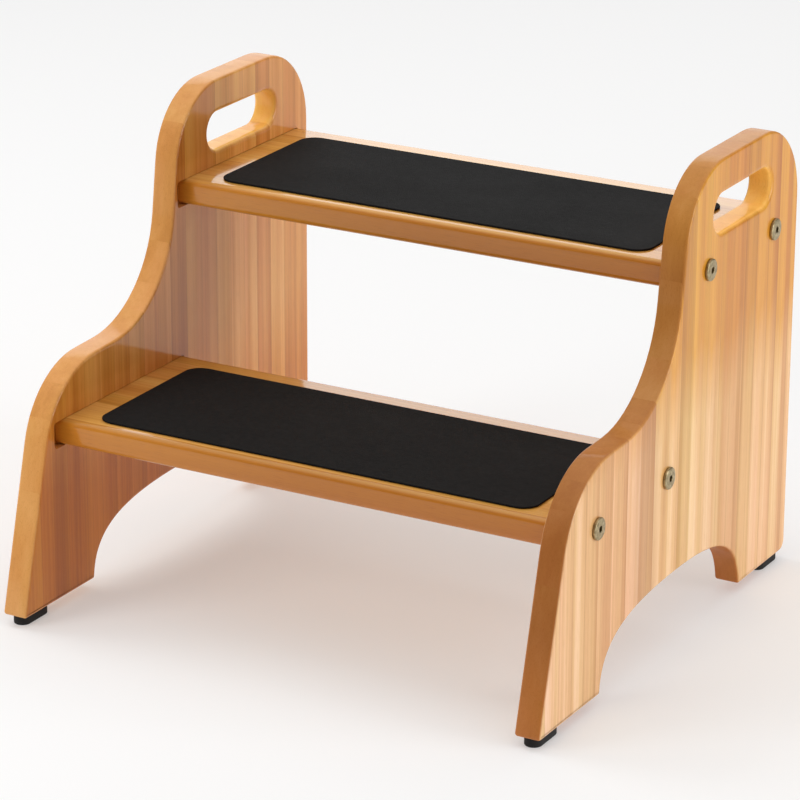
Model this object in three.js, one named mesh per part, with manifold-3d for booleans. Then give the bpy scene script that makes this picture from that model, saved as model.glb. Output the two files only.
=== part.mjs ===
// A two-step mounting block: two shaped side panels with hand slots, two treads let into them and
// drawn tight by furniture bolts and barrel nuts, a grip mat on each tread, and a foot under each leg.
// Millimetres. +X runs to the right along the treads, +Y to the back, +Z up.
// The origin is on the floor, below the middle of the block.

import * as THREE from 'three';
import { mergeVertices } from 'three/addons/utils/BufferGeometryUtils.js';
import Module from 'manifold-3d';

const wasm = await Module();
wasm.setup();

// ---- Driving dimensions ----

const WIDTH = 400;
const DEPTH = 366;
const HEIGHT = 318;
const BOARD = 18;
const CLEARANCE = 0.3;

// Side panels. Each corner of the outline is [distance from the front edge, height, radius]: the
// front leg leans back to the shoulder, the front edge sweeps up past the lower tread into the
// narrow top, and the rear edge is upright.
const FOOT_HEIGHT = 7;
const EDGE_ROUND = 2;
const FRONT_LEG_LENGTH = 83;
const REAR_LEG_LENGTH = 75;
const SHOULDER = [42, 166, 64];
const THROAT = [179, 170, 78];
const TOP_FRONT = [199.5, HEIGHT, 54];
const TOP_REAR = [DEPTH, HEIGHT, 56];
const HEEL = [DEPTH, FOOT_HEIGHT, 7];

// The arch between the legs: two curves that meet level at its crown.
const ARCH_CROWN_Y = 197;
const ARCH_CROWN_Z = 52.5;
const ARCH_SPRING_Z = 40;
const ARCH_LEAN_FRONT = 3;
const ARCH_LEAN_REAR = 5;
const ARCH_FLAT_FRONT = 82;
const ARCH_FLAT_REAR = 64;

// Hand slots
const SLOT_LENGTH = 88;
const SLOT_HEIGHT = 26;
const SLOT_Z = 281;

// Treads, placed by the distance of their front edge from the panels' front edge
const LOWER_TREAD_FRONT = 49;
const UPPER_TREAD_FRONT = 203;
const LOWER_TREAD_TOP = 132;
const UPPER_TREAD_TOP = 257;
const TREAD_DEPTH = 150;
const TREAD_ROUND = 4;

// Housings: pockets in the panels' inner faces, which run on past the fronts of their treads
const HOUSING_DEPTH = 6;
const HOUSING_FRONT_REACH = 9.5;
const HOUSING_REAR_REACH = CLEARANCE;
const HOUSING_CORNER = 3;

// Grip mats
const MAT_WIDTH = 324;
const MAT_DEPTH = 122;
const MAT_THICKNESS = 1.2;
const MAT_FRONT_MARGIN = 9;
const MAT_CORNER = 12;

// Bolts and barrel nuts
const BOLT_INSET = 25;
const BOLT_DIAMETER = 6;
const BOLT_LENGTH = 50;
const BOLT_POINT = 0.8;
const HEAD_DIAMETER = 15;
const HEAD_HEIGHT = 2.2;
const SOCKET_ACROSS_FLATS = 4;
const SOCKET_DEPTH = 3;
const NUT_DIAMETER = 10;
const NUT_LENGTH = 12;
const NUT_INSET = 34;
const NUT_SLOT_WIDTH = 1.6;
const NUT_SLOT_DEPTH = 1.4;

// Feet and their screws
const FOOT_LENGTH = 30;
const FOOT_WIDTH = 12;
const FOOT_CHAMFER = 0.5;
const FRONT_FOOT_Y = 19;
const REAR_FOOT_Y = 348.5;
const SCREW_DIAMETER = 3;
const SCREW_HEAD_DIAMETER = 6;
const SCREW_HEAD_HEIGHT = 1.5;
const SCREW_LENGTH = 18;
const SCREW_POINT = 3;
const SCREW_RECESS = 1.5;
const CROSS_LENGTH = 3;
const CROSS_WIDTH = 0.8;
const CROSS_DEPTH = 0.8;

// ---- Values that follow from them ----

const INNER_X = WIDTH / 2 - BOARD;
const PANEL_X = (WIDTH - BOARD) / 2;
const TREAD_END_X = INNER_X + HOUSING_DEPTH - CLEARANCE;
const NUT_X = TREAD_END_X - NUT_INSET;
const FRONT_Y = -DEPTH / 2;
const BOLT_HOLE = BOLT_DIAMETER + 2 * CLEARANCE;
const SCREW_HOLE = SCREW_DIAMETER + 2 * CLEARANCE;
const ROUND_SEGMENTS = 20;
const SCREW_SEGMENTS = 12;

const steps = [
  { name: 'lower', front: FRONT_Y + LOWER_TREAD_FRONT, top: LOWER_TREAD_TOP },
  { name: 'upper', front: FRONT_Y + UPPER_TREAD_FRONT, top: UPPER_TREAD_TOP },
];
const sides = [
  { name: 'left', sign: -1 },
  { name: 'right', sign: 1 },
];
const SLOT_Y = steps[1].front + TREAD_DEPTH / 2;

// ---- Materials ----

const finishes = {
  panelWood: { color: 0xd9a066, roughness: 0.45, metalness: 0 },
  treadWood: { color: 0xc98f55, roughness: 0.45, metalness: 0 },
  gripMat: { color: 0x232122, roughness: 0.9, metalness: 0 },
  bronze: { color: 0x7a6138, roughness: 0.4, metalness: 0.9 },
  zincSteel: { color: 0xa9a9a4, roughness: 0.35, metalness: 0.9 },
  rubber: { color: 0x191818, roughness: 0.85, metalness: 0 },
};

function makeMesh(name, geometry, finish) {
  const mesh = new THREE.Mesh(geometry, new THREE.MeshStandardMaterial(finishes[finish]));
  mesh.name = name;
  return mesh;
}

// ---- Solid helpers ----

function toSolid(geometry) {
  const bare = geometry.clone();
  bare.deleteAttribute('normal');
  bare.deleteAttribute('uv');
  const welded = mergeVertices(bare, 1e-4);
  return new wasm.Manifold(new wasm.Mesh({
    numProp: 3,
    vertProperties: new Float32Array(welded.attributes.position.array),
    triVerts: new Uint32Array(welded.index.array),
  }));
}

function toGeometry(solid) {
  const mesh = solid.getMesh();
  const geometry = new THREE.BufferGeometry();
  geometry.setAttribute('position', new THREE.BufferAttribute(mesh.vertProperties, 3));
  geometry.setIndex(new THREE.BufferAttribute(mesh.triVerts, 1));
  geometry.computeVertexNormals();
  return geometry;
}

function cut(body, tools) {
  return toGeometry(tools.reduce((solid, tool) => solid.subtract(toSolid(tool)), toSolid(body)));
}

// A round bar between two points on a line parallel to X.
function barAlongX(diameter, fromX, toX, y, z) {
  const length = Math.abs(toX - fromX);
  const bar = new THREE.CylinderGeometry(diameter / 2, diameter / 2, length, ROUND_SEGMENTS);
  bar.rotateZ(Math.PI / 2);
  bar.translate((fromX + toX) / 2, y, z);
  return bar;
}

// A round bar standing between two heights.
function barAlongZ(diameter, x, y, fromZ, toZ) {
  const bar = new THREE.CylinderGeometry(diameter / 2, diameter / 2, toZ - fromZ, ROUND_SEGMENTS);
  bar.rotateX(Math.PI / 2);
  bar.translate(x, y, (fromZ + toZ) / 2);
  return bar;
}

// ---- Outlines ----

// Adds an arc to the path that rounds the corner between the points before and after it.
function roundCorner(path, before, corner, after, radius) {
  const toBefore = before.clone().sub(corner).normalize();
  const toAfter = after.clone().sub(corner).normalize();
  const half = Math.acos(THREE.MathUtils.clamp(toBefore.dot(toAfter), -1, 1)) / 2;
  const reach = radius / Math.tan(half);
  const start = corner.clone().addScaledVector(toBefore, reach);
  const end = corner.clone().addScaledVector(toAfter, reach);
  const inward = toBefore.clone().add(toAfter).normalize();
  const centre = corner.clone().addScaledVector(inward, radius / Math.sin(half));
  const turnsLeft = toBefore.clone().negate().cross(toAfter) > 0;
  const startAngle = Math.atan2(start.y - centre.y, start.x - centre.x);
  const endAngle = Math.atan2(end.y - centre.y, end.x - centre.x);
  path.lineTo(start.x, start.y);
  path.absarc(centre.x, centre.y, radius, startAngle, endAngle, !turnsLeft);
}

// A slot-shaped outline: two straight sides joined by half circles.
function stadium(path, centreX, centreY, length, height) {
  const radius = height / 2;
  const reach = length / 2 - radius;
  path.moveTo(centreX - reach, centreY - radius);
  path.lineTo(centreX + reach, centreY - radius);
  path.absarc(centreX + reach, centreY, radius, -Math.PI / 2, Math.PI / 2, false);
  path.lineTo(centreX - reach, centreY + radius);
  path.absarc(centreX - reach, centreY, radius, Math.PI / 2, 1.5 * Math.PI, false);
  return path;
}

function roundedRectangle(width, height, radius) {
  const shape = new THREE.Shape();
  const x = width / 2 - radius;
  const y = height / 2 - radius;
  shape.absarc(x, -y, radius, -Math.PI / 2, 0, false);
  shape.absarc(x, y, radius, 0, Math.PI / 2, false);
  shape.absarc(-x, y, radius, Math.PI / 2, Math.PI, false);
  shape.absarc(-x, -y, radius, Math.PI, 1.5 * Math.PI, false);
  return shape;
}

// The side panel seen from its right, with x from the front edge backwards and y up.
function panelOutline() {
  const frontInside = [FRONT_LEG_LENGTH, FOOT_HEIGHT, 0];
  const toe = [0, FOOT_HEIGHT, 0];
  const rearInside = [DEPTH - REAR_LEG_LENGTH, FOOT_HEIGHT, 0];
  const corners = [frontInside, toe, SHOULDER, THROAT, TOP_FRONT, TOP_REAR, HEEL, rearInside];
  const points = corners.map(([x, y]) => new THREE.Vector2(x, y));
  const shape = new THREE.Shape();
  shape.moveTo(points[0].x, points[0].y);
  for (let i = 1; i < corners.length; i += 1) {
    const radius = corners[i][2];
    if (radius > 0) {
      roundCorner(shape, points[i - 1], points[i], points[i + 1], radius);
    } else {
      shape.lineTo(points[i].x, points[i].y);
    }
  }
  const [rearX] = rearInside;
  const [frontX] = frontInside;
  shape.bezierCurveTo(
    rearX - ARCH_LEAN_REAR, ARCH_SPRING_Z,
    ARCH_CROWN_Y + ARCH_FLAT_REAR, ARCH_CROWN_Z,
    ARCH_CROWN_Y, ARCH_CROWN_Z,
  );
  shape.bezierCurveTo(
    ARCH_CROWN_Y - ARCH_FLAT_FRONT, ARCH_CROWN_Z,
    frontX + ARCH_LEAN_FRONT, ARCH_SPRING_Z,
    frontX, FOOT_HEIGHT,
  );
  shape.holes.push(stadium(new THREE.Path(), SLOT_Y - FRONT_Y, SLOT_Z, SLOT_LENGTH, SLOT_HEIGHT));
  return shape;
}

// Turns an outline drawn as (back, up) and extruded forwards into one that is extruded along +X.
function standAlongX(geometry) {
  const back = new THREE.Vector3(0, 1, 0);
  const up = new THREE.Vector3(0, 0, 1);
  const right = new THREE.Vector3(1, 0, 0);
  return geometry.applyMatrix4(new THREE.Matrix4().makeBasis(back, up, right));
}

// ---- Pieces ----

function boltPositions() {
  return steps.flatMap((step) => [
    { name: `${step.name}_front`, y: step.front + BOLT_INSET, z: step.top - BOARD / 2 },
    { name: `${step.name}_rear`, y: step.front + TREAD_DEPTH - BOLT_INSET, z: step.top - BOARD / 2 },
  ]);
}

function footPositions() {
  return [
    { name: 'front', y: FRONT_Y + FRONT_FOOT_Y },
    { name: 'rear', y: FRONT_Y + REAR_FOOT_Y },
  ];
}

// The stopped pocket in a panel's inner face that takes a tread's end.
function housing(step, side) {
  const front = step.front - HOUSING_FRONT_REACH;
  const rear = step.front + TREAD_DEPTH + HOUSING_REAR_REACH;
  const pocket = standAlongX(new THREE.ExtrudeGeometry(
    roundedRectangle(rear - front, BOARD + 2 * CLEARANCE, HOUSING_CORNER),
    { depth: HOUSING_DEPTH + 1, bevelEnabled: false, curveSegments: 3 },
  ));
  const startX = side.sign > 0 ? INNER_X - 1 : -INNER_X - HOUSING_DEPTH;
  return pocket.translate(startX, (front + rear) / 2, step.top - BOARD / 2);
}

function makePanel(side) {
  const core = BOARD - 2 * EDGE_ROUND;
  const blank = standAlongX(new THREE.ExtrudeGeometry(panelOutline(), {
    depth: core,
    bevelThickness: EDGE_ROUND,
    bevelSize: EDGE_ROUND,
    bevelOffset: -EDGE_ROUND,
    bevelSegments: 2,
    curveSegments: 7,
  }));
  blank.translate(side.sign * PANEL_X - core / 2, FRONT_Y, 0);
  const boltHoles = boltPositions().map(({ y, z }) => (
    barAlongX(BOLT_HOLE, side.sign * (INNER_X - 1), side.sign * (WIDTH / 2 + 1), y, z)
  ));
  const screwHoleTop = SCREW_RECESS + SCREW_LENGTH + 1;
  const screwHoles = footPositions().map(({ y }) => (
    barAlongZ(SCREW_HOLE, side.sign * PANEL_X, y, 0, screwHoleTop)
  ));
  const housings = steps.map((step) => housing(step, side));
  return cut(blank, [...housings, ...boltHoles, ...screwHoles]);
}

function makeTread(step) {
  const section = roundedRectangle(TREAD_DEPTH, BOARD, TREAD_ROUND);
  const plank = standAlongX(new THREE.ExtrudeGeometry(section, {
    depth: 2 * TREAD_END_X,
    bevelEnabled: false,
    curveSegments: 4,
  }));
  plank.translate(-TREAD_END_X, step.front + TREAD_DEPTH / 2, step.top - BOARD / 2);
  const tools = [];
  for (const { y, z } of boltPositions().filter(({ name }) => name.startsWith(step.name))) {
    for (const { sign } of sides) {
      const boreEnd = NUT_X - NUT_DIAMETER;
      const nutTop = z + NUT_LENGTH / 2 + CLEARANCE;
      tools.push(barAlongX(BOLT_HOLE, sign * boreEnd, sign * (TREAD_END_X + 1), y, z));
      tools.push(barAlongZ(NUT_DIAMETER + 2 * CLEARANCE, sign * NUT_X, y, z - BOARD, nutTop));
    }
  }
  return cut(plank, tools);
}

function makeMat(step) {
  const mat = new THREE.ExtrudeGeometry(roundedRectangle(MAT_WIDTH, MAT_DEPTH, MAT_CORNER), {
    depth: MAT_THICKNESS,
    bevelEnabled: false,
    curveSegments: 5,
  });
  return mat.translate(0, step.front + MAT_FRONT_MARGIN + MAT_DEPTH / 2, step.top + CLEARANCE);
}

// The bolt is turned about its own axis, head up, then laid along X with its head outwards.
function makeBolt(position, side) {
  const head = HEAD_DIAMETER / 2;
  const shank = BOLT_DIAMETER / 2;
  const profile = [
    [0, -BOLT_LENGTH],
    [shank - BOLT_POINT, -BOLT_LENGTH],
    [shank, -BOLT_LENGTH + BOLT_POINT],
    [shank, 0],
    [head - 0.4, 0],
    [head, 0.5],
    [head - 0.3, 1.2],
    [head - 1.4, 1.9],
    [head - 3, HEAD_HEIGHT],
    [0, HEAD_HEIGHT],
  ].map(([x, y]) => new THREE.Vector2(x, y));
  const body = new THREE.LatheGeometry(profile, ROUND_SEGMENTS);
  const circumradius = SOCKET_ACROSS_FLATS / Math.sqrt(3);
  const socket = new THREE.CylinderGeometry(circumradius, circumradius, 2 * SOCKET_DEPTH, 6);
  socket.translate(0, HEAD_HEIGHT, 0);
  const bolt = cut(body, [socket]);
  bolt.rotateZ(-side.sign * Math.PI / 2);
  return bolt.translate(side.sign * (WIDTH / 2 + CLEARANCE), position.y, position.z);
}

// A steel cross dowel, with a cross hole for the bolt and a screwdriver slot in its lower end.
function makeBarrelNut(position, side) {
  const x = side.sign * NUT_X;
  const bottom = position.z - NUT_LENGTH / 2;
  const barrel = barAlongZ(NUT_DIAMETER, x, position.y, bottom, position.z + NUT_LENGTH / 2);
  const thread = barAlongX(BOLT_HOLE, x - NUT_DIAMETER, x + NUT_DIAMETER, position.y, position.z);
  const slot = new THREE.BoxGeometry(2 * NUT_DIAMETER, NUT_SLOT_WIDTH, 2 * NUT_SLOT_DEPTH);
  slot.translate(x, position.y, bottom);
  return cut(barrel, [thread, slot]);
}

function makeFoot(foot, side) {
  const outline = stadium(new THREE.Shape(), 0, 0, FOOT_LENGTH, FOOT_WIDTH);
  const pad = new THREE.ExtrudeGeometry(outline, {
    depth: FOOT_HEIGHT - CLEARANCE - 2 * FOOT_CHAMFER,
    bevelThickness: FOOT_CHAMFER,
    bevelSize: FOOT_CHAMFER,
    bevelOffset: -FOOT_CHAMFER,
    bevelSegments: 1,
    curveSegments: 5,
  });
  pad.rotateZ(Math.PI / 2);
  const x = side.sign * PANEL_X;
  pad.translate(x, foot.y, FOOT_CHAMFER);
  const recessTop = SCREW_RECESS + SCREW_HEAD_HEIGHT + CLEARANCE;
  const recess = barAlongZ(SCREW_HEAD_DIAMETER + 2 * CLEARANCE, x, foot.y, -1, recessTop);
  const shankHole = barAlongZ(SCREW_HOLE, x, foot.y, 0, FOOT_HEIGHT + 1);
  return cut(pad, [recess, shankHole]);
}

// A pan-head screw, driven up through the foot into the end of the leg.
function makeFootScrew(foot, side) {
  const head = SCREW_HEAD_DIAMETER / 2;
  const shank = SCREW_DIAMETER / 2;
  const profile = [
    [0, 0],
    [head - 0.6, 0],
    [head, 0.5],
    [head, SCREW_HEAD_HEIGHT],
    [shank, SCREW_HEAD_HEIGHT],
    [shank, SCREW_LENGTH - SCREW_POINT],
    [0, SCREW_LENGTH],
  ].map(([x, y]) => new THREE.Vector2(x, y));
  const body = new THREE.LatheGeometry(profile, SCREW_SEGMENTS);
  const screw = cut(body, [
    new THREE.BoxGeometry(CROSS_LENGTH, 2 * CROSS_DEPTH, CROSS_WIDTH),
    new THREE.BoxGeometry(CROSS_WIDTH, 2 * CROSS_DEPTH, CROSS_LENGTH),
  ]);
  screw.rotateX(Math.PI / 2);
  return screw.translate(side.sign * PANEL_X, foot.y, SCREW_RECESS);
}

// ---- Assembly ----

const block = new THREE.Group();

for (const side of sides) {
  block.add(makeMesh(`side_panel_${side.name}`, makePanel(side), 'panelWood'));
}

for (const step of steps) {
  block.add(makeMesh(`${step.name}_tread`, makeTread(step), 'treadWood'));
  block.add(makeMesh(`${step.name}_grip_mat`, makeMat(step), 'gripMat'));
}

for (const side of sides) {
  for (const position of boltPositions()) {
    const place = `${position.name}_${side.name}`;
    block.add(makeMesh(`bolt_${place}`, makeBolt(position, side), 'bronze'));
    block.add(makeMesh(`barrel_nut_${place}`, makeBarrelNut(position, side), 'zincSteel'));
  }
  for (const foot of footPositions()) {
    block.add(makeMesh(`foot_${foot.name}_${side.name}`, makeFoot(foot, side), 'rubber'));
    block.add(makeMesh(`foot_screw_${foot.name}_${side.name}`, makeFootScrew(foot, side), 'zincSteel'));
  }
}

export default block;
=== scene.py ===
"""The visual model of a two-step wooden mounting block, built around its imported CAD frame.

Two shaped side panels carry two treads let into stopped housings. Each tread has a black grip mat
and is drawn tight by bolts and barrel nuts. A rubber foot is screwed under each leg.
Lengths in outlines are millimetres; everything placed in the scene is metres.
"""

import math

import bpy
from mathutils import Matrix, Vector
from mathutils.geometry import tessellate_polygon


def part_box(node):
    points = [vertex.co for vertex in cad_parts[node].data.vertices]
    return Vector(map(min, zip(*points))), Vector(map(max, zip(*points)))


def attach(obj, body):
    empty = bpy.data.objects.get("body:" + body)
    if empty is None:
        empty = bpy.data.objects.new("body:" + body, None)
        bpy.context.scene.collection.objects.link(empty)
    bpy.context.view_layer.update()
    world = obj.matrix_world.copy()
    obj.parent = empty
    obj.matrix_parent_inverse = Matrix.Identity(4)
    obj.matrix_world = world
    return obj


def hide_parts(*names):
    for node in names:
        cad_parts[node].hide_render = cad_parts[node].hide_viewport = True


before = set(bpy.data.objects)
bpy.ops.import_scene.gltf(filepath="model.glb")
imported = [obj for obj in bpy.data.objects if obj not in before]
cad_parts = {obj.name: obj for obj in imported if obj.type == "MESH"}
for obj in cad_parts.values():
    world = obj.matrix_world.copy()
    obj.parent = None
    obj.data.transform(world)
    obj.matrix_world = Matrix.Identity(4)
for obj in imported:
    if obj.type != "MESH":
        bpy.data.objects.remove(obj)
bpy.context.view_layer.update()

MM = 0.001

# ---- Design values, in millimetres: the main ones are the CAD's, and the rest finer detail ----

BOARD = 18.0
DEPTH = 366.0
HEIGHT = 318.0
FOOT_HEIGHT = 7.0

# The side panels' corners, each (back, up, radius of its rounding)
SHOULDER = (42.0, 166.0, 64.0)
THROAT = (179.0, 170.0, 78.0)
TOP_FRONT = (199.5, HEIGHT, 54.0)
TOP_REAR = (DEPTH, HEIGHT, 56.0)
HEEL = (DEPTH, FOOT_HEIGHT, 7.0)
LEG_CORNER = 2.1

# The arch between the legs: two curves from the feet to its crown, where they run level
ARCH_FRONT = 83.0
ARCH_REAR = 291.0
ARCH_TOP = 52.5
ARCH_SPRING = 40.0
ARCH_CROWN_Y = 197.0
ARCH_LEAN_FRONT = 3.0
ARCH_LEAN_REAR = 5.0
ARCH_FLAT_FRONT = 82.0
ARCH_FLAT_REAR = 64.0
ARCH_STEPS = 24

SLOT_LENGTH = 88.0
SLOT_HEIGHT = 26.0
SLOT_Z = 281.0
PANEL_ROUND = 2.0
SLOT_ROUND = 3.5
TREAD_ROUND = 4.0
CLEARANCE = 0.3
HOUSING_DEPTH = 6.0
HOUSING_FRONT_REACH = 9.5
HOUSING_REAR_REACH = CLEARANCE
HOUSING_CORNER = 3.0
MAT_CORNER = 12.0
MAT_ROUND = 0.45

# A bolt: the rounding of its head's rim, the fall of its crown towards the rim at shares of its
# radius, its shank, and the hex socket with its widened mouth
HEAD_HEIGHT = 2.2
HEAD_RIM = 0.9
HEAD_RIM_INSET = 0.1
HEAD_RIM_DROP = 0.25
HEAD_UNDERCUT = 0.3
HEAD_CROWN_DROP = 0.4
HEAD_CROWN_POWER = 2.5
HEAD_CROWN_SHARES = (0.78, 0.66, 0.52, 0.42)
BOLT_SHANK = 6.0
BOLT_POINT = 0.8
BOLT_HOLE = 6.6
SOCKET_ACROSS_FLATS = 4.0
SOCKET_DEPTH = 3.0
MOUTH_POINT = 0.5
MOUTH_DEPTH = 0.45
MOUTH_REACH = 0.35
MOUTH_RISE = 0.3

# A barrel nut. Its lower rim is rounded through points, each (in from its side, up).
NUT_RIM = ((0.7, 0.0), (0.25, 0.15), (0.0, 0.6))
NUT_CHAMFER = 0.6
NUT_HOLE = 10.6
NUT_SLOT = (14.0, 1.6)
NUT_SLOT_CORNER = 0.2
NUT_SLOT_DEPTH = 1.4

# A foot, and its screw with a cross recess
FOOT_ROUND = 0.9
FOOT_RECESS = 6.6
FOOT_RECESS_TOP = 3.3
SCREW_HEAD_HEIGHT = 1.5
SCREW_DOME = 0.9
SCREW_SHANK = 3.0
SCREW_POINT = 3.0
SCREW_HOLE = 3.6
SCREW_HOLE_TOP = 20.5
CROSS_LENGTH = 3.2
CROSS_WIDTH = 0.8
CROSS_DEPTH = 0.9

# How far a cutter runs out of what it cuts
OVERRUN = 1.0

STEPS = ("lower", "upper")
ENDS = ("front", "rear")
SIDES = {"left": -1, "right": 1}

# Edges sharper than this stay crisp, and a strip this wide keeps the shading of a flat face flat
# beside its rounded rim.
SHARP_ANGLE = math.radians(32)
RIM_SUPPORT = 0.6


# ---- Outlines: lists of (u, v) points in order round a shape ----

def arc(centre, radius, start, end, steps):
    """Points on an arc from one angle to another, both ends included, angles in radians."""
    angles = [start + (end - start) * i / steps for i in range(steps + 1)]
    return [(centre[0] + radius * math.cos(a), centre[1] + radius * math.sin(a)) for a in angles]


def rounded_corner(before, corner, after, radius, steps=14):
    """The arc that rounds the corner between two other points."""
    corner = Vector(corner)
    to_before = (Vector(before) - corner).normalized()
    to_after = (Vector(after) - corner).normalized()
    half = to_before.angle(to_after) / 2
    reach = radius / math.tan(half)
    centre = corner + (to_before + to_after).normalized() * (radius / math.sin(half))
    start = corner + to_before * reach - centre
    end = corner + to_after * reach - centre
    start_angle = math.atan2(start.y, start.x)
    turn = math.atan2(end.y, end.x) - start_angle
    turn = (turn + math.pi) % (2 * math.pi) - math.pi
    return arc(centre, radius, start_angle, start_angle + turn, steps)


def bezier(p0, p1, p2, p3, steps):
    """Points on a cubic curve, without its first one."""
    points = []
    for i in range(1, steps + 1):
        t = i / steps
        s = 1 - t
        weights = (s ** 3, 3 * s * s * t, 3 * s * t * t, t ** 3)
        points.append(tuple(
            sum(w * p[axis] for w, p in zip(weights, (p0, p1, p2, p3))) for axis in (0, 1)
        ))
    return points


def stadium(centre, length, height, steps=20):
    """A slot shape: two straight sides joined by half circles."""
    radius = height / 2
    reach = length / 2 - radius
    right = arc((centre[0] + reach, centre[1]), radius, -math.pi / 2, math.pi / 2, steps)
    left = arc((centre[0] - reach, centre[1]), radius, math.pi / 2, 1.5 * math.pi, steps)
    return right + left


def rounded_rectangle(centre, width, height, radius, steps=8):
    x, y = width / 2 - radius, height / 2 - radius
    corners = ((x, -y, -0.5), (x, y, 0.0), (-x, y, 0.5), (-x, -y, 1.0))
    points = []
    for cx, cy, turn in corners:
        middle = (centre[0] + cx, centre[1] + cy)
        points += arc(middle, radius, turn * math.pi, (turn + 0.5) * math.pi, steps)
    return points


def circle(centre, diameter, steps=36):
    return arc(centre, diameter / 2, 0, 2 * math.pi * (1 - 1 / steps), steps - 1)


def panel_outline():
    """The side panel: u runs back from the front edge and v up from the floor."""
    corners = (
        (ARCH_FRONT, FOOT_HEIGHT, LEG_CORNER),
        (0.0, FOOT_HEIGHT, LEG_CORNER),
        SHOULDER,
        THROAT,
        TOP_FRONT,
        TOP_REAR,
        HEEL,
        (ARCH_REAR, FOOT_HEIGHT, LEG_CORNER),
    )
    # The ends of the arch lean like the start of its curves, so the leg corners round into them.
    inside_front = (ARCH_FRONT + ARCH_LEAN_FRONT, ARCH_SPRING)
    inside_rear = (ARCH_REAR - ARCH_LEAN_REAR, ARCH_SPRING)
    ring = [inside_front, *[c[:2] for c in corners], inside_rear]
    points = []
    for i, (u, v, radius) in enumerate(corners, start=1):
        points += rounded_corner(ring[i - 1], (u, v), ring[i + 1], radius)
    crown = (ARCH_CROWN_Y, ARCH_TOP)
    flat_rear = (ARCH_CROWN_Y + ARCH_FLAT_REAR, ARCH_TOP)
    flat_front = (ARCH_CROWN_Y - ARCH_FLAT_FRONT, ARCH_TOP)
    arch = bezier(points[-1], inside_rear, flat_rear, crown, ARCH_STEPS)
    arch += bezier(crown, flat_front, inside_front, points[0], ARCH_STEPS)
    return points + arch[:-1]


# ---- Mesh building ----

def signed_area(loop):
    return sum(a[0] * b[1] - b[0] * a[1] for a, b in zip(loop, loop[1:] + loop[:1])) / 2


def wound(loop, clockwise):
    """The loop, reversed if it doesn't turn the asked way."""
    return loop[::-1] if (signed_area(loop) < 0) != clockwise else loop


def inset(loop, distance):
    """The loop moved into the wood, which is on its left, by a distance."""
    moved = []
    for i, here in enumerate(loop):
        before, after = Vector(loop[i - 1]), Vector(loop[(i + 1) % len(loop)])
        here = Vector(here)
        enter, leave = (here - before).normalized(), (after - here).normalized()
        normal_in, normal_out = Vector((-enter.y, enter.x)), Vector((-leave.y, leave.x))
        miter = (normal_in + normal_out) / (1 + normal_in.dot(normal_out))
        moved.append(tuple(here + miter * distance))
    return moved


def new_piece(name, vertices, faces):
    mesh = bpy.data.meshes.new(name)
    mesh.from_pydata(vertices, [], faces)
    mesh.validate()
    piece = bpy.data.objects.new(name, mesh)
    bpy.context.scene.collection.objects.link(piece)
    return piece


def wall_levels(thickness, roundover, steps):
    """(inset, height) pairs up the edge of a board whose two rims are rounded over."""
    if roundover == 0:
        return [(0.0, 0.0), (0.0, thickness)]
    levels = [(roundover + RIM_SUPPORT, 0.0)]
    for i in range(steps + 1):
        angle = math.pi / 2 * i / steps
        levels.append((roundover * (1 - math.sin(angle)), roundover * (1 - math.cos(angle))))
    return levels + [(depth, thickness - height) for depth, height in levels[::-1]]


def board(name, loops, thickness, place, steps=6):
    """A flat solid. loops holds its outline and then its holes, each as (points, roundover), and
    each is wound to keep the wood on its left. place(u, v, w) gives the scene position of a point
    whose w runs through the thickness."""
    vertices, faces, floor, ceiling = [], [], [], []
    for number, (points, roundover) in enumerate(loops):
        loop = wound(points, clockwise=number > 0)
        count = len(loop)
        levels = wall_levels(thickness, roundover, steps)
        first = len(vertices)
        for depth, height in levels:
            ring = inset(loop, depth) if depth else loop
            vertices += [place(u, v, height) for u, v in ring]
        for low in range(first, first + count * (len(levels) - 1), count):
            for i in range(count):
                j = (i + 1) % count
                faces.append((low + i, low + j, low + count + j, low + count + i))
        rim = inset(loop, levels[0][0]) if roundover else loop
        floor.append((first, rim))
        ceiling.append((first + count * (len(levels) - 1), rim))
    for cap, up in ((floor, False), (ceiling, True)):
        corners = [Vector((u, v, 0)) for _, ring in cap for u, v in ring]
        numbers = [start + i for start, ring in cap for i in range(len(ring))]
        for a, b, c in tessellate_polygon([[Vector((u, v, 0)) for u, v in ring] for _, ring in cap]):
            turn = (corners[b] - corners[a]).cross(corners[c] - corners[a]).z
            if (turn > 0) != up:
                b, c = c, b
            faces.append((numbers[a], numbers[b], numbers[c]))
    return face_outwards(new_piece(name, vertices, faces))


def block(name, points, thickness, place):
    """A board with square edges, such as a cutter."""
    return board(name, [(points, 0)], thickness, place)


def lathe(name, profile, place, steps=48):
    """A turned solid. profile is a list of (radius, height) from the axis back to the axis, and
    place(u, v, w) puts a point whose axis runs along w."""
    vertices = [place(0, 0, profile[0][1])]
    rings = profile[1:-1]
    for radius, height in rings:
        for i in range(steps):
            angle = 2 * math.pi * i / steps
            vertices.append(place(radius * math.cos(angle), radius * math.sin(angle), height))
    vertices.append(place(0, 0, profile[-1][1]))
    last = len(vertices) - 1
    faces = []
    for i in range(steps):
        j = (i + 1) % steps
        faces.append((0, 1 + j, 1 + i))
        for ring in range(len(rings) - 1):
            low = 1 + ring * steps
            high = low + steps
            faces.append((low + i, low + j, high + j, high + i))
        top = 1 + (len(rings) - 1) * steps
        faces.append((last, top + i, top + j))
    return face_outwards(new_piece(name, vertices, faces))


def face_outwards(piece):
    """Turns every face outwards, by the sign of the solid's volume."""
    mesh = piece.data
    volume = 0.0
    for polygon in mesh.polygons:
        points = [mesh.vertices[i].co for i in polygon.vertices]
        for b, c in zip(points[1:], points[2:]):
            volume += points[0].dot(b.cross(c))
    if volume < 0:
        mesh.flip_normals()
    return piece


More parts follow.
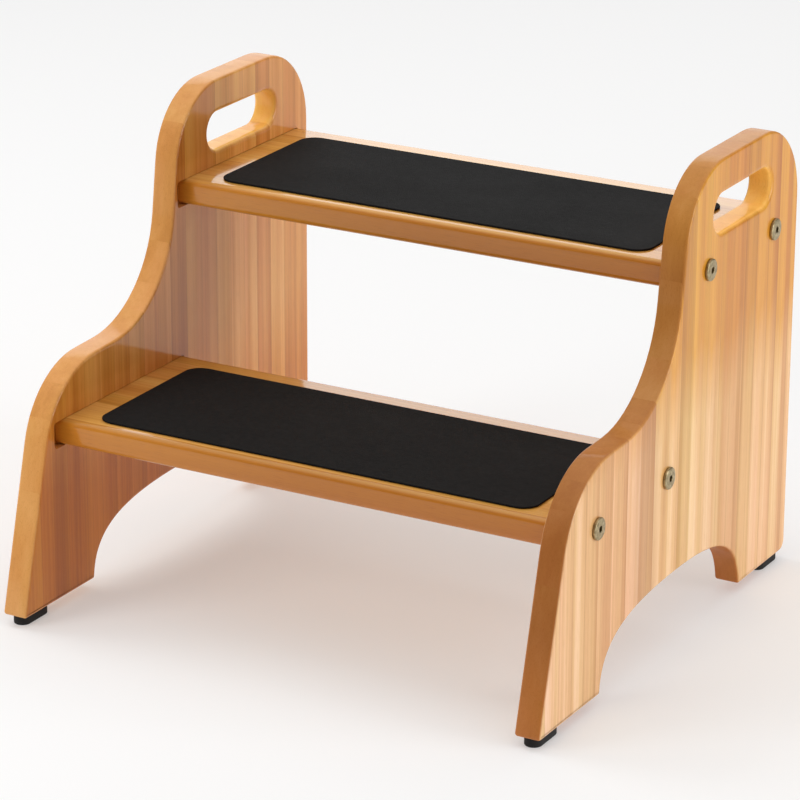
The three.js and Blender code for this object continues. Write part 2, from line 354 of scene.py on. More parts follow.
def carve(piece, cutters):
    """Cuts each cutter out of the piece, keeps the result as its mesh and removes the cutters."""
    for cutter in cutters:
        cut = piece.modifiers.new(cutter.name, "BOOLEAN")
        cut.operation = "DIFFERENCE"
        cut.solver = "EXACT"
        cut.object = cutter
    graph = bpy.context.evaluated_depsgraph_get()
    carved = bpy.data.meshes.new_from_object(piece.evaluated_get(graph))
    piece.modifiers.clear()
    piece.data = carved
    for cutter in cutters:
        bpy.data.objects.remove(cutter)


def finish_piece(piece, material, node):
    """Gives a piece its material, shading that is smooth but crisp at real edges, and its place in
    the frame."""
    piece.data.materials.clear()
    piece.data.materials.append(material)
    piece.data.shade_smooth()
    piece.data.set_sharp_from_angle(angle=SHARP_ANGLE)
    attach(piece, "root")
    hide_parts(node)


# ---- Places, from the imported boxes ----

def box_mm(node):
    low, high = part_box(node)
    return Vector(low) / MM, Vector(high) / MM


def along_x(start, front=0.0):
    """Places an outline drawn as (back, up), with its thickness along +X."""
    return lambda u, v, w: ((start + w) * MM, (front + u) * MM, v * MM)


def along_z(start):
    """Places an outline drawn as (right, back), with its thickness upwards."""
    return lambda u, v, w: (u * MM, v * MM, (start + w) * MM)


def tread_box(step):
    return box_mm(f"{step}_tread")


def slot_middle():
    """The (y, z) of the middle of the hand slots, over the middle of the upper tread."""
    low, high = tread_box("upper")
    return (low.y + high.y) / 2 * MM, SLOT_Z * MM


def bolt_centres():
    """(step, end, y, z) of each pair of bolts, read from the right-hand ones."""
    centres = []
    for step in STEPS:
        for end in ENDS:
            low, high = box_mm(f"bolt_{step}_{end}_right")
            centres.append((step, end, (low.y + high.y) / 2, (low.z + high.z) / 2))
    return centres


def upright(node):
    """The axis (x, y) and the two heights of a part that stands up."""
    low, high = box_mm(node)
    return (low.x + high.x) / 2, (low.y + high.y) / 2, low.z, high.z


def standing(x, y, bottom):
    """Places a turned part upright on a height."""
    return lambda u, v, w: ((x + u) * MM, (y + v) * MM, (bottom + w) * MM)


# ---- Materials ----

def add_node(tree, kind, inputs=None, **settings):
    """A shader node with its settings and inputs; an input is a value or another node's output."""
    made = tree.nodes.new("ShaderNode" + kind)
    for key, value in settings.items():
        setattr(made, key, value)
    for key, value in (inputs or {}).items():
        if isinstance(value, bpy.types.NodeSocket):
            tree.links.new(value, made.inputs[key])
        else:
            made.inputs[key].default_value = value
    return made


def calculate(tree, operation, first, second=0.0, third=0.0):
    node = add_node(tree, "Math", {0: first, 1: second, 2: third}, operation=operation)
    return node.outputs[0]


def remap(tree, value, from_low, from_high, to_low, to_high):
    node = add_node(tree, "MapRange", {
        "Value": value,
        "From Min": from_low,
        "From Max": from_high,
        "To Min": to_low,
        "To Max": to_high,
    })
    return node.outputs[0]


def mix_colours(tree, factor, first, second, blend="MIX"):
    node = add_node(tree, "Mix", data_type="RGBA", blend_type=blend)
    sockets = {"Factor_Float": factor, "A_Color": first, "B_Color": second}
    for socket in node.inputs:
        if socket.identifier in sockets:
            value = sockets[socket.identifier]
            if isinstance(value, bpy.types.NodeSocket):
                tree.links.new(value, socket)
            else:
                socket.default_value = value
    return next(s for s in node.outputs if s.identifier == "Result_Color")


def new_material(name, **shader_values):
    material = bpy.data.materials.new(name)
    material.use_nodes = True
    tree = material.node_tree
    shader = tree.nodes["Principled BSDF"]
    for key, value in shader_values.items():
        shader.inputs[key.replace("_", " ")].default_value = value
    return material, tree, shader


def scaled_noise(tree, vector, scale, detail=4.0, roughness=0.5, offset=None):
    """Noise over coordinates stretched by a scale per axis, so it can follow a grain."""
    stretched = add_node(tree, "VectorMath", {0: vector, 1: scale}, operation="MULTIPLY").outputs[0]
    if offset is not None:
        stretched = add_node(tree, "VectorMath", {0: stretched, 1: offset}, operation="ADD").outputs[0]
    noise = add_node(tree, "TexNoise", {
        "Vector": stretched, "Scale": 1.0, "Detail": detail, "Roughness": roughness,
    })
    return noise.outputs["Fac"]


def add_bump(tree, shader, strength, distance, height):
    bump = add_node(tree, "Bump", {"Strength": strength, "Distance": distance, "Height": height})
    tree.links.new(bump.outputs[0], shader.inputs["Normal"])


WOOD_LIGHT = (0.80, 0.435, 0.130, 1)
WOOD_MIDDLE = (0.67, 0.310, 0.068, 1)
WOOD_DARK = (0.50, 0.190, 0.030, 1)
ROSY = (1.03, 0.95, 0.92, 1)
STRAW = (0.98, 1.07, 0.78, 1)
PLAIN = (1, 1, 1, 1)
WOOD_TONES = ((0.2, WOOD_DARK), (0.5, WOOD_MIDDLE), (0.8, WOOD_LIGHT))
STAVE_WIDTH = 0.0185
STAVE_SPREAD = (47.0, 31.0, 83.0)
STAVE_RANDOMNESS = 0.45
SEAM_SHADE = (0.86, 0.80, 0.72, 1)
SEAM_WIDTH = 0.03

# The layers of the figure: scale across and along the grain, detail and roughness
BANDS = (70, 1.3, 3.0, 0.5)
HUES = (60, 2.2, 2.0, 0.5)
LINES = (430, 4.0, 3.0, 0.55)
FIBRES = (1500, 22, 3.0, 0.6)
PORES = (2600, 90, 1.0, 0.5)

# How strongly the layers and the staves' own tones and hues show, and how much of that is left on
# the cut edges
BAND_STRENGTH = 1.15
LINE_STRENGTH = 0.48
FIBRE_STRENGTH = 0.16
STAVE_STRENGTH = 0.30
STAVE_HUE_STRENGTH = 0.5
EDGE_CONTRAST = 0.35
PORE_SHADES = ((0.30, (0.90, 0.86, 0.80, 1)), (0.42, PLAIN))

# The part of the normal that points out of the board at which a cut edge starts to turn into a
# broad face, and at which it has done so
FACE_FROM = 0.55
FACE_FULL = 0.95

# Tints that multiply the wood's colour: along the grain on the cut edges, and by height and by
# depth on the panels' broad faces, each a run of (metres, tint), and one on the walls of the hand
# slots. These tints are painted light and shade: painted light on the left panel's edges, a deeper
# edge tone with painted shade on the right panel's edges, painted shade on the treads' edges that
# deepens towards their right ends, painted light and shade by height and depth on the broad
# faces, and painted light on the slot walls. HEIGHT_DRIFT is how far the bands of the figure move
# the tints by height, in metres. SLOT_MARGIN is how far round a hand slot, in millimetres, its
# walls are looked for.
# Left panel's edges: painted light
LEFT_EDGE_TONE_AND_PAINTED_LIGHT = ((0.0, (1.15, 1.11, 1.60, 1)), (0.3, (1.15, 1.11, 1.60, 1)))
# Right panel's edges: a deeper edge tone with painted shade, varying with height
RIGHT_EDGE_TONE_AND_PAINTED_SHADE = (
    (0.02, (0.78, 0.56, 0.60, 1)), (0.07, (0.64, 0.48, 0.60, 1)), (0.14, (0.66, 0.50, 0.60, 1)),
    (0.185, (0.81, 0.71, 0.90, 1)), (0.25, (0.75, 0.61, 0.66, 1)), (0.29, (0.92, 0.82, 0.90, 1)),
)
# Treads' edges: painted shade, deeper towards their right ends
TREAD_EDGE_PAINTED_LIGHT_AND_SHADE = (
    (-0.15, (0.97, 0.77, 0.39, 1)), (0.0, (0.80, 0.57, 0.26, 1)), (0.15, (0.80, 0.56, 0.21, 1)),
)
# Painted light on the walls of the hand slots
SLOT_WALL_PAINTED_LIGHT = (1.50, 1.75, 2.00, 1)
# Painted light and shade by height and by depth on the panels' broad faces
LEFT_HEIGHTS_PAINTED_LIGHT_AND_SHADE = (
    (0.08, (0.92, 0.68, 0.30, 1)), (0.15, (1.08, 1.07, 1.22, 1)),
    (0.225, (1.09, 1.07, 1.25, 1)), (0.25, (0.95, 0.80, 0.66, 1)),
)
LEFT_DEPTHS_PAINTED_LIGHT_AND_SHADE = (
    (-0.073, (0.90, 0.78, 0.62, 1)), (0.051, (0.89, 0.83, 0.86, 1)), (0.095, (1.22, 1.26, 1.60, 1)),
)
RIGHT_HEIGHTS_PAINTED_LIGHT_AND_SHADE = (
    (0.05, (1.20, 1.44, 3.00, 1)), (0.15, (1.14, 1.34, 2.50, 1)), (0.20, (0.97, 0.82, 0.32, 1)),
)
RIGHT_DEPTHS_PAINTED_LIGHT_AND_SHADE = (
    (-0.110, (1.06, 1.12, 1.40, 1)), (-0.062, (1.00, 1.00, 1.15, 1)), (-0.040, (0.77, 0.72, 0.80, 1)),
    (-0.015, (1.00, 1.00, 1.05, 1)), (0.029, (1.07, 1.24, 1.35, 1)), (0.075, (0.84, 0.75, 0.65, 1)),
    (0.130, (1.02, 1.05, 1.12, 1)),
)
HEIGHT_DRIFT = 0.08
SLOT_MARGIN = 2.0

# How much of the lacquer shines on the cut edges and on the broad faces
LEFT_LACQUER = (0.45, 0.8)
RIGHT_LACQUER = (0.30, 0.65)
TREAD_LACQUER = (0.85, 1.0)


def colour_ramp(tree, value, stops):
    """A blend of colours over a value, whose stops are (value, colour) pairs in order."""
    node = add_node(tree, "ValToRGB", {0: value})
    elements = node.color_ramp.elements
    for element, (place, colour) in zip(elements, (stops[0], stops[-1])):
        element.position = place
        element.color = colour
    for place, colour in stops[1:-1]:
        elements.new(place).color = colour
    return node.outputs[0]


def tint_along(tree, distance, stops):
    """A tint that blends from stop to stop over a distance, each stop a (metres, tint) pair."""
    first, last = stops[0][0], stops[-1][0]
    share = remap(tree, distance, first, last, 0.0, 1.0)
    shares = [((place - first) / (last - first), tint) for place, tint in stops]
    return colour_ramp(tree, share, shares)


def multiply_colours(tree, colours):
    product = colours[0]
    for colour in colours[1:]:
        product = mix_colours(tree, 1.0, product, colour, "MULTIPLY")
    return product


def edge_colour_with_painted_light(tree, axes, grain, edge_tints_with_painted_light, slot):
    """The tint of a board's cut edges, with painted light and shade along the grain. slot is the
    (y, z) of the middle of a hand slot, whose walls get painted light, or None."""
    edge_tone_with_painted_light = tint_along(tree, axes[grain], edge_tints_with_painted_light)
    if slot is None:
        return edge_tone_with_painted_light
    # The walls of the hand slots get painted light
    reach = ((SLOT_LENGTH / 2 + SLOT_MARGIN) * MM, (SLOT_HEIGHT / 2 + SLOT_MARGIN) * MM)
    slot_wall_painted_light_mask = 1.0
    for axis, middle, limit in zip(axes[1:], slot, reach):
        apart = calculate(tree, "ABSOLUTE", calculate(tree, "SUBTRACT", axis, middle))
        slot_wall_painted_light_mask = calculate(tree, "MULTIPLY", calculate(tree, "LESS_THAN", apart, limit), slot_wall_painted_light_mask)
    return mix_colours(tree, slot_wall_painted_light_mask, edge_tone_with_painted_light, SLOT_WALL_PAINTED_LIGHT)


def wood_material(name, grain, face, seed, edge_tints_with_painted_light, lacquer, painted_heights=None, painted_depths=None, slot=None):
    """Lacquered wood glued up from narrow staves, side by side along Y. grain is the axis that the
    fibres run along, and face the one that the board's broad faces look along. The tints by height
    and by depth paint light and shade on the broad faces, the edge tints paint light and shade on
    the cut edges, and slot places painted light on a hand slot's walls."""
    material, tree, shader = new_material(
        name, Coat_Roughness=0.10, Coat_IOR=1.52, Specular_IOR_Level=0.12,
    )
    coordinates = add_node(tree, "TexCoord").outputs
    position = coordinates["Object"]
    axes = add_node(tree, "SeparateXYZ", {0: position}).outputs

    place = calculate(tree, "MULTIPLY_ADD", axes[1], 1 / STAVE_WIDTH, seed)
    cells = {"W": place, "Scale": 1.0, "Randomness": STAVE_RANDOMNESS}
    stave = add_node(tree, "TexVoronoi", cells, voronoi_dimensions="1D", feature="F1").outputs["Color"]
    joint = add_node(tree, "TexVoronoi", cells, voronoi_dimensions="1D",
                     feature="DISTANCE_TO_EDGE").outputs["Distance"]
    stave_tones = add_node(tree, "SeparateColor", {0: stave}).outputs
    offset = add_node(tree, "VectorMath", {0: stave, 1: STAVE_SPREAD}, operation="MULTIPLY").outputs[0]

    def figure(across, along, detail, roughness):
        scale = [across] * 3
        scale[grain] = along
        return scaled_noise(tree, position, scale, detail, roughness, offset)

    bands, hues, lines, fibres, pores = [
        figure(*layer) for layer in (BANDS, HUES, LINES, FIBRES, PORES)
    ]

    normal = add_node(tree, "SeparateXYZ", {0: coordinates["Normal"]}).outputs[face]
    flat = remap(tree, calculate(tree, "ABSOLUTE", normal), FACE_FROM, FACE_FULL, 0.0, 1.0)
    pattern = 0.0
    for layer, strength in (
        (bands, BAND_STRENGTH),
        (lines, LINE_STRENGTH),
        (fibres, FIBRE_STRENGTH),
        (stave_tones[0], STAVE_STRENGTH),
    ):
        centred = calculate(tree, "SUBTRACT", layer, 0.5)
        pattern = calculate(tree, "MULTIPLY_ADD", centred, strength, pattern)
    contrast = remap(tree, flat, 0.0, 1.0, EDGE_CONTRAST, 1.0)
    tone = calculate(tree, "MULTIPLY_ADD", pattern, contrast, 0.5)
    wood = colour_ramp(tree, tone, WOOD_TONES)
    drift = remap(tree, hues, 0.35, 0.65, -0.5, 0.0)
    hue_shift = calculate(tree, "MULTIPLY_ADD", stave_tones[1], STAVE_HUE_STRENGTH, drift)
    hue = mix_colours(tree, calculate(tree, "MULTIPLY_ADD", hue_shift, contrast, 0.5), ROSY, STRAW)
    seam = remap(tree, joint, 0.0, SEAM_WIDTH, 1.0, 0.0)
    joint_shade = mix_colours(tree, calculate(tree, "MULTIPLY", seam, flat), PLAIN, SEAM_SHADE)
    pore_shade = colour_ramp(tree, pores, PORE_SHADES)
    # Painted light and shade by height and by depth on the broad faces
    painted_face_light_and_shade = PLAIN
    if painted_heights:
        centred = calculate(tree, "SUBTRACT", bands, 0.5)
        level = calculate(tree, "MULTIPLY_ADD", centred, HEIGHT_DRIFT, axes[2])
        painted_face_light_and_shade = multiply_colours(tree, [
            tint_along(tree, level, painted_heights), tint_along(tree, axes[1], painted_depths),
        ])
    # Cut edges take their tints with painted light and shade; broad faces take the painted light and
    # shade by height and depth
    tint = mix_colours(tree, flat, edge_colour_with_painted_light(tree, axes, grain, edge_tints_with_painted_light, slot), painted_face_light_and_shade)
    base = multiply_colours(tree, [wood, hue, joint_shade, pore_shade, tint])
    tree.links.new(base, shader.inputs["Base Color"])

    tree.links.new(remap(tree, flat, 0.0, 1.0, *lacquer), shader.inputs["Coat Weight"])
    tree.links.new(remap(tree, fibres, 0.3, 0.7, 0.42, 0.56), shader.inputs["Roughness"])
    height = calculate(tree, "MULTIPLY_ADD", pores, 0.5, calculate(tree, "MULTIPLY", fibres, 0.6))
    height = calculate(tree, "MULTIPLY_ADD", seam, -0.4, height)
    add_bump(tree, shader, 0.12, 0.0004, height)
    return material


def speckled(name, dark, light, low, high, **shader_values):
    """A material whose colour runs from dark at one value to light at another, and the input that
    the caller links the value to."""
    material, tree, shader = new_material(name, **shader_values)
    colour = colour_ramp(tree, 0.5, ((low, dark), (high, light)))
    tree.links.new(colour, shader.inputs["Base Color"])
    position = add_node(tree, "TexCoord").outputs["Object"]
    return material, tree, shader, colour.node.inputs[0], position


GRIT_DARK = (0.0050, 0.0047, 0.0049, 1)
GRIT_LIGHT = (0.0150, 0.0143, 0.0140, 1)
RUBBER_DARK = (0.010, 0.0095, 0.0095, 1)
RUBBER_LIGHT = (0.026, 0.025, 0.024, 1)
BRONZE_DARK = (0.25, 0.19, 0.10, 1)
BRONZE_LIGHT = (0.50, 0.41, 0.24, 1)
ZINC_DARK = (0.46, 0.46, 0.44, 1)
ZINC_LIGHT = (0.62, 0.62, 0.60, 1)


def grip_material():
    """Black abrasive mat: fine hard grit in a matt binder."""
    material, tree, shader, tone_in, position = speckled(
        "grip_mat_grit", GRIT_DARK, GRIT_LIGHT, 0.25, 0.85, Specular_IOR_Level=0.12,
    )
    cells = {"Vector": position, "Scale": 1400.0}
    grit = add_node(tree, "TexVoronoi", cells, feature="F1").outputs["Distance"]
    clumps = scaled_noise(tree, position, (260, 260, 260), 3.0, 0.6)
    scuffs = scaled_noise(tree, position, (9, 14, 9), 4.0, 0.6)
    tone = calculate(tree, "MULTIPLY_ADD", grit, 0.35, calculate(tree, "MULTIPLY", clumps, 0.6))
    tone = calculate(tree, "MULTIPLY_ADD", scuffs, 0.25, tone)
    tree.links.new(tone, tone_in)
    tree.links.new(remap(tree, scuffs, 0.3, 0.7, 0.80, 0.92), shader.inputs["Roughness"])
    height = calculate(tree, "MULTIPLY_ADD", grit, -1.0, calculate(tree, "MULTIPLY", clumps, 0.8))
    add_bump(tree, shader, 0.45, 0.0003, height)
    return material


def metal_material(name, dark, light, roughness, tarnish_scale):
    """Plated metal with soft mottling and a fine grain."""
    material, tree, shader, tone_in, position = speckled(name, dark, light, 0.35, 0.65, Metallic=1.0)
    mottle = scaled_noise(tree, position, (tarnish_scale,) * 3, 4.0, 0.6)
    fine = scaled_noise(tree, position, (4200, 4200, 4200), 2.0, 0.5)
    tree.links.new(mottle, tone_in)
    rough = remap(tree, mottle, 0.3, 0.7, roughness + 0.08, roughness - 0.05)
    tree.links.new(rough, shader.inputs["Roughness"])
    add_bump(tree, shader, 0.15, 0.0001, fine)
    return material


def rubber_material():
    """Moulded black rubber with a dusty bloom."""
    material, tree, shader, tone_in, position = speckled(
        "foot_rubber_moulded", RUBBER_DARK, RUBBER_LIGHT, 0.35, 0.75, Specular_IOR_Level=0.3,
    )
    bloom = scaled_noise(tree, position, (90, 90, 90), 5.0, 0.65)
    skin = scaled_noise(tree, position, (2200, 2200, 2200), 2.0, 0.5)
    tree.links.new(bloom, tone_in)
    tree.links.new(remap(tree, bloom, 0.3, 0.7, 0.6, 0.85), shader.inputs["Roughness"])
    add_bump(tree, shader, 0.3, 0.0002, skin)
    return material


# ---- Pieces ----

def make_panel(side, sign, material):
    node = f"side_panel_{side}"
    low, high = box_mm(node)
    tread_low, tread_high = tread_box("upper")
    slot_centre = ((tread_low.y + tread_high.y) / 2 - low.y, SLOT_Z)
    slot = stadium(slot_centre, SLOT_LENGTH, SLOT_HEIGHT)
    loops = [(panel_outline(), PANEL_ROUND), (slot, SLOT_ROUND)]
    panel = board(f"panel_{side}", loops, BOARD, along_x(low.x, low.y))
    inner = low.x if sign > 0 else high.x
    outer = high.x if sign > 0 else low.x
    cutters = []
    for step in STEPS:
        tread_low, tread_high = tread_box(step)
        front = tread_low.y - HOUSING_FRONT_REACH
        rear = tread_high.y + HOUSING_REAR_REACH
        centre = ((front + rear) / 2, (tread_low.z + tread_high.z) / 2)
        height = tread_high.z - tread_low.z + 2 * CLEARANCE
        outline = rounded_rectangle(centre, rear - front, height, HOUSING_CORNER)
        start = min(inner - sign * OVERRUN, inner + sign * HOUSING_DEPTH)
        cutters.append(block(f"housing_{step}", outline, HOUSING_DEPTH + OVERRUN, along_x(start)))
    for step, end, y, z in bolt_centres():
        start = min(inner, outer + sign * OVERRUN)
        hole = circle((y, z), BOLT_HOLE)
        cutters.append(block(f"hole_{step}_{end}", hole, BOARD + OVERRUN, along_x(start)))
    for end in ENDS:
        x, y, _, _ = upright(f"foot_screw_{end}_{side}")
        hole = circle((x, y), SCREW_HOLE, 24)
        cutters.append(block(f"screw_hole_{end}", hole, SCREW_HOLE_TOP, along_z(0)))
    carve(panel, cutters)
    finish_piece(panel, material, node)


def make_tread(step, material):
    node = f"{step}_tread"
    low, high = tread_box(step)
    centre = ((low.y + high.y) / 2, (low.z + high.z) / 2)
    section = rounded_rectangle(centre, high.y - low.y, high.z - low.z, TREAD_ROUND)
    tread = block(f"tread_{step}", section, high.x - low.x, along_x(low.x))
    cutters = []
    for end in ENDS:
        for side in SIDES:
            x, y, _, top = upright(f"barrel_nut_{step}_{end}_{side}")
            hole = circle((x, y), NUT_HOLE)
            start = low.z - OVERRUN
            height = top + CLEARANCE - start
            cutters.append(block(f"nut_hole_{end}_{side}", hole, height, along_z(start)))
    carve(tread, cutters)
    finish_piece(tread, material, node)


def make_mat(step, material):
    node = f"{step}_grip_mat"
    low, high = box_mm(node)
    centre = ((low.x + high.x) / 2, (low.y + high.y) / 2)
    outline = rounded_rectangle(centre, high.x - low.x, high.y - low.y, MAT_CORNER, 12)
    mat = board(f"mat_{step}", [(outline, MAT_ROUND)], high.z - low.z, along_z(low.z), 4)
    finish_piece(mat, material, node)


def make_bolt(step, end, side, sign, turn, material):
    """A furniture bolt: flat domed head with a hex socket, and a plain shank."""
    node = f"bolt_{step}_{end}_{side}"
    low, high = box_mm(node)
    y, z = (low.y + high.y) / 2, (low.z + high.z) / 2
    radius = (high.y - low.y) / 2
    outer = high.x if sign > 0 else -low.x
    inner = low.x if sign > 0 else -high.x
    tip = HEAD_HEIGHT - (outer - inner)
    shank = BOLT_SHANK / 2
    side_radius = radius - HEAD_RIM_INSET
    rim_centre = (side_radius - HEAD_RIM, HEAD_HEIGHT - HEAD_RIM_DROP - HEAD_RIM)
    rim = arc(rim_centre, HEAD_RIM, 0, math.pi / 2, 6)
    crown = [
        (radius * share, HEAD_HEIGHT - HEAD_CROWN_DROP * share ** HEAD_CROWN_POWER)
        for share in HEAD_CROWN_SHARES
    ]
    profile = [
        (0, tip), (shank - BOLT_POINT, tip), (shank, tip + BOLT_POINT), (shank, 0),
        (side_radius - HEAD_UNDERCUT, 0), (side_radius, HEAD_RIM_DROP),
        *rim, *crown, (0, HEAD_HEIGHT),
    ]

    def place(u, v, w):
        return (sign * (outer - HEAD_HEIGHT + w) * MM, (y + u) * MM, (z + v) * MM)

    bolt = lathe(f"bolt_piece_{step}_{end}_{side}", profile, place)
    circumradius = SOCKET_ACROSS_FLATS / math.sqrt(3)
    hexagon = arc((0, 0), circumradius, turn, turn + math.pi * 5 / 3, 5)
    socket_floor = HEAD_HEIGHT - SOCKET_DEPTH
    socket = block("socket", hexagon, SOCKET_DEPTH + OVERRUN,
                   lambda u, v, w: place(u, v, socket_floor + w))
    mouth = lathe("mouth", [
        (0, HEAD_HEIGHT - MOUTH_POINT),
        (circumradius - MOUTH_DEPTH, HEAD_HEIGHT - MOUTH_DEPTH),
        (circumradius + MOUTH_REACH, HEAD_HEIGHT + MOUTH_RISE),
        (0, HEAD_HEIGHT + MOUTH_RISE),
    ], place)
    carve(bolt, [socket, mouth])
    finish_piece(bolt, material, node)


def make_nut(step, end, side, material):
    """A cross dowel standing in the tread, with a cross hole and a screwdriver slot below."""
    node = f"barrel_nut_{step}_{end}_{side}"
    x, y, bottom, top = upright(node)
    low, high = box_mm(node)
    radius = (high.x - low.x) / 2
    height = top - bottom
    profile = [
        (0, 0), *[(radius - inward, up) for inward, up in NUT_RIM],
        (radius, height - NUT_CHAMFER), (radius - NUT_CHAMFER, height), (0, height),
    ]
    nut = lathe(f"nut_piece_{step}_{end}_{side}", profile, standing(x, y, bottom), 40)
    hole = circle((y, (bottom + top) / 2), BOLT_HOLE)
    slot = rounded_rectangle((x, y), *NUT_SLOT, NUT_SLOT_CORNER, 2)
    carve(nut, [
        block("thread", hole, 4 * radius, along_x(x - 2 * radius)),
        block("slot", slot, NUT_SLOT_DEPTH + OVERRUN, along_z(bottom - OVERRUN)),
    ])
    finish_piece(nut, material, node)


def make_foot(end, side, material):
    """A moulded rubber pad with its screw's head sunk in its underside."""
    node = f"foot_{end}_{side}"
    x, y, bottom, top = upright(node)
    low, high = box_mm(node)
    outline = [(x - v, y + u) for u, v in stadium((0, 0), high.y - low.y, high.x - low.x, 16)]
    foot = board(f"foot_pad_{end}_{side}", [(outline, FOOT_ROUND)], top - bottom, along_z(bottom), 4)
    recess = circle((x, y), FOOT_RECESS, 32)
    shank = circle((x, y), SCREW_HOLE, 24)
    carve(foot, [
        block("recess", recess, FOOT_RECESS_TOP + OVERRUN, along_z(-OVERRUN)),
        block("shank", shank, top + OVERRUN, along_z(0)),
    ])
    finish_piece(foot, material, node)


def make_screw(end, side, turn, material):
    """A pan-head screw with a cross recess, head down in its foot."""
    node = f"foot_screw_{end}_{side}"
    x, y, bottom, top = upright(node)
    low, high = box_mm(node)
    radius = (high.x - low.x) / 2
    length = top - bottom
    shank = SCREW_SHANK / 2
    dome = [
        (radius * math.sin(angle), SCREW_DOME * (1 - math.cos(angle)))
        for angle in [math.pi / 2 * i / 6 for i in range(1, 7)]
    ]
    profile = [
        (0, 0), *dome, (radius, SCREW_HEAD_HEIGHT), (shank, SCREW_HEAD_HEIGHT),
        (shank, length - SCREW_POINT), (0, length),
    ]
    screw = lathe(f"screw_piece_{end}_{side}", profile, standing(x, y, bottom), 32)
    long, wide = CROSS_LENGTH / 2, CROSS_WIDTH / 2
    corners = ((-long, -wide), (long, -wide), (long, wide), (-long, wide))
    cross = []
    for angle in (turn, turn + math.pi / 2):
        spin = Matrix.Rotation(angle, 2)
        bar = [tuple(spin @ Vector(p) + Vector((x, y))) for p in corners]
        cross.append(block(f"recess_{len(cross)}", bar, CROSS_DEPTH + OVERRUN,
                           along_z(bottom - OVERRUN)))
    carve(screw, cross)
    finish_piece(screw, material, node)


# ---- Camera, light and floor ----

CAMERA_TARGET = Vector((0.025, -0.048, 0.1566))
CAMERA_AZIMUTH = math.radians(29.4)
CAMERA_ELEVATION = math.radians(20.0)
CAMERA_ROLL = math.radians(0.2)
CAMERA_DISTANCE = 2.505
CAMERA_LENS = 173.4
CAMERA_SENSOR = 36
CAMERA_NEAR = 0.05
CAMERA_FAR = 60


def looking(place, direction):
    """The pose of a camera or a lamp that looks along a direction from a place."""
    turn = direction.to_track_quat("-Z", "Y").to_matrix().to_4x4()
    return Matrix.Translation(place) @ turn


def make_camera():
    data = bpy.data.cameras.new("camera")
    data.lens = CAMERA_LENS
    data.sensor_width = CAMERA_SENSOR
    data.clip_start = CAMERA_NEAR
    data.clip_end = CAMERA_FAR
    camera = bpy.data.objects.new("camera", data)
    back = Vector((
        math.sin(CAMERA_AZIMUTH) * math.cos(CAMERA_ELEVATION),
        -math.cos(CAMERA_AZIMUTH) * math.cos(CAMERA_ELEVATION),
        math.sin(CAMERA_ELEVATION),
    ))
    place = CAMERA_TARGET + back * CAMERA_DISTANCE
    camera.matrix_world = looking(place, -back) @ Matrix.Rotation(CAMERA_ROLL, 4, "Z")
    bpy.context.scene.collection.objects.link(camera)
    bpy.context.scene.camera = camera


def make_softbox(name, place, aim, size, power, mirrored=True, lights=True):
    """A square soft lamp, its size in metres and its power in watts. mirrored says whether glossy
    surfaces show it, and lights whether it lights anything else."""
    data = bpy.data.lights.new(name, "AREA")
    data.shape = "SQUARE"
    data.size = size
    data.energy = power
    light = bpy.data.objects.new(name, data)
    light.visible_glossy = mirrored
    light.visible_diffuse = lights
    light.matrix_world = looking(place, Vector(aim) - Vector(place))
    bpy.context.scene.collection.objects.link(light)


# Half the width of the floor
FLOOR_SIZE = 12.0
FLOOR_WHITE = (0.66, 0.66, 0.66, 1)
FLOOR_GLOW = 0.46

# The studio's colour, and its brightness towards each side of it and overhead
STUDIO_WHITE = (1.0, 0.995, 0.99, 1)
STUDIO_LEFT = 0.11
STUDIO_RIGHT = 0.10
STUDIO_FRONT = 0.02
STUDIO_BACK = 0.08
STUDIO_TOP = 1.24


def make_floor():
    corners = [
        (x * FLOOR_SIZE, y * FLOOR_SIZE, 0) for x, y in ((-1, -1), (1, -1), (1, 1), (-1, 1))
    ]
    floor = new_piece("floor", corners, [(0, 1, 2, 3)])
    material, _, shader = new_material("floor_paper", Roughness=0.9, Specular_IOR_Level=0.1)
    shader.inputs["Base Color"].default_value = FLOOR_WHITE
    shader.inputs["Emission Color"].default_value = FLOOR_WHITE
    shader.inputs["Emission Strength"].default_value = FLOOR_GLOW
    floor.data.materials.append(material)


def make_world():
    """White studio walls. The brightness towards a direction blends those of the walls it lies
    between by the squares of its parts along the axes, which add up to one."""
    world = bpy.data.worlds.new("studio")
    world.use_nodes = True
    tree = world.node_tree
    axes = add_node(tree, "SeparateXYZ", {0: add_node(tree, "TexCoord").outputs["Generated"]}).outputs
    walls = ((STUDIO_LEFT, STUDIO_RIGHT), (STUDIO_FRONT, STUDIO_BACK), (STUDIO_TOP, STUDIO_TOP))
    total = 0.0
    for axis, (behind, ahead) in zip(axes, walls):
        strength = behind
        if ahead != behind:
            side = calculate(tree, "GREATER_THAN", axis, 0.0)
            strength = calculate(tree, "MULTIPLY_ADD", side, ahead - behind, behind)
        square = calculate(tree, "MULTIPLY", axis, axis)
        total = calculate(tree, "MULTIPLY_ADD", square, strength, total)
    background = tree.nodes["Background"]
    background.inputs["Color"].default_value = STUDIO_WHITE
    tree.links.new(total, background.inputs["Strength"])
    bpy.context.scene.world = world


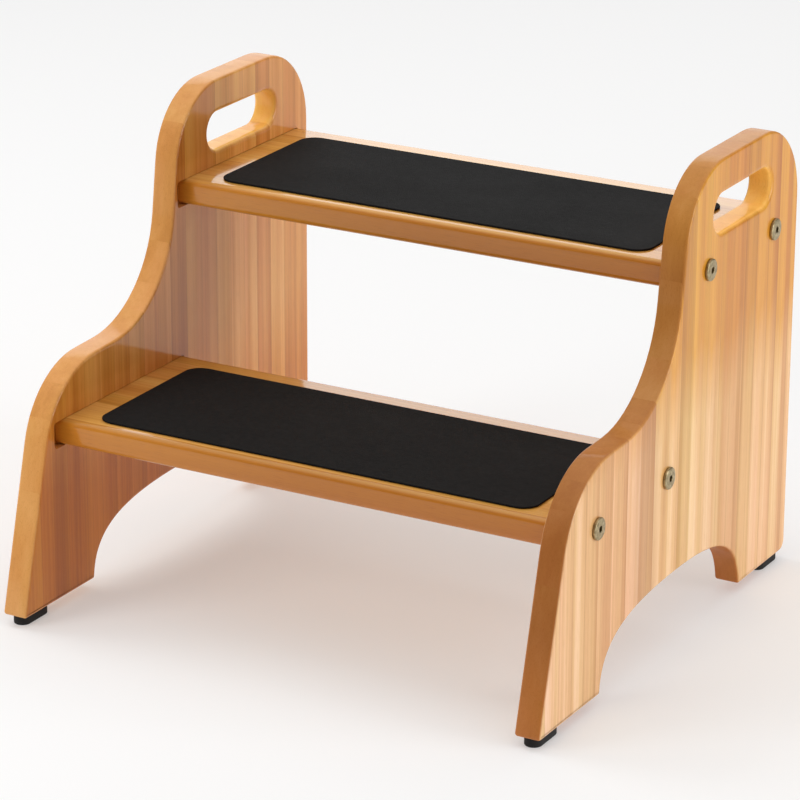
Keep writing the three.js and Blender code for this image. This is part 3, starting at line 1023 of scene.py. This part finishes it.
make_camera()
make_world()
make_floor()
make_softbox("right_low", (2.0, 0.3, 0.5), (0, 0, 0.15), 1.0, 17)
make_softbox("left_high", (-1.5, 0.2, 1.8), (0, 0, 0.1), 1.0, 11, mirrored=False)
make_softbox("back_high", (0, 1.8, 1.5), (0, 0, 0.15), 1.0, 3.3)
make_softbox("front_left", (-0.70, -0.95, 0.6), (-0.2, -0.1, 0.15), 0.5, 3.0, mirrored=False)
make_softbox("back_sheen", (-1.6, 2.9, 1.4), (0, 0, 0.18), 2.5, 28, lights=False)
bpy.context.scene.view_settings.view_transform = "Standard"

left_wood = wood_material("panel_left_staves", 2, 0, 11.6, LEFT_EDGE_TONE_AND_PAINTED_LIGHT, LEFT_LACQUER,
                          LEFT_HEIGHTS_PAINTED_LIGHT_AND_SHADE, LEFT_DEPTHS_PAINTED_LIGHT_AND_SHADE, slot_middle())
right_wood = wood_material("panel_right_staves", 2, 0, 3.3, RIGHT_EDGE_TONE_AND_PAINTED_SHADE, RIGHT_LACQUER,
                           RIGHT_HEIGHTS_PAINTED_LIGHT_AND_SHADE, RIGHT_DEPTHS_PAINTED_LIGHT_AND_SHADE, slot_middle())
tread_wood = wood_material("tread_wood_staves", 0, 2, 8.7, TREAD_EDGE_PAINTED_LIGHT_AND_SHADE, TREAD_LACQUER)
panel_woods = {"left": left_wood, "right": right_wood}
grip = grip_material()
bronze = metal_material("bolt_bronze_plate", BRONZE_DARK, BRONZE_LIGHT, 0.36, 420)
zinc = metal_material("zinc_plate", ZINC_DARK, ZINC_LIGHT, 0.3, 500)
rubber = rubber_material()

# How the sockets and the crosses are turned, in radians, from the first of a side to the next
FIRST_SOCKET_TURN = 0.35
SOCKET_TURNS = 0.6
FIRST_CROSS_TURN = 0.3
CROSS_TURNS = 0.9

for side, sign in SIDES.items():
    make_panel(side, sign, panel_woods[side])
for step in STEPS:
    make_tread(step, tread_wood)
    make_mat(step, grip)
for side, sign in SIDES.items():
    for number, (step, end, _, _) in enumerate(bolt_centres()):
        make_bolt(step, end, side, sign, FIRST_SOCKET_TURN + SOCKET_TURNS * number, bronze)
        make_nut(step, end, side, zinc)
    for number, end in enumerate(ENDS):
        make_foot(end, side, rubber)
        make_screw(end, side, FIRST_CROSS_TURN + CROSS_TURNS * number, zinc)
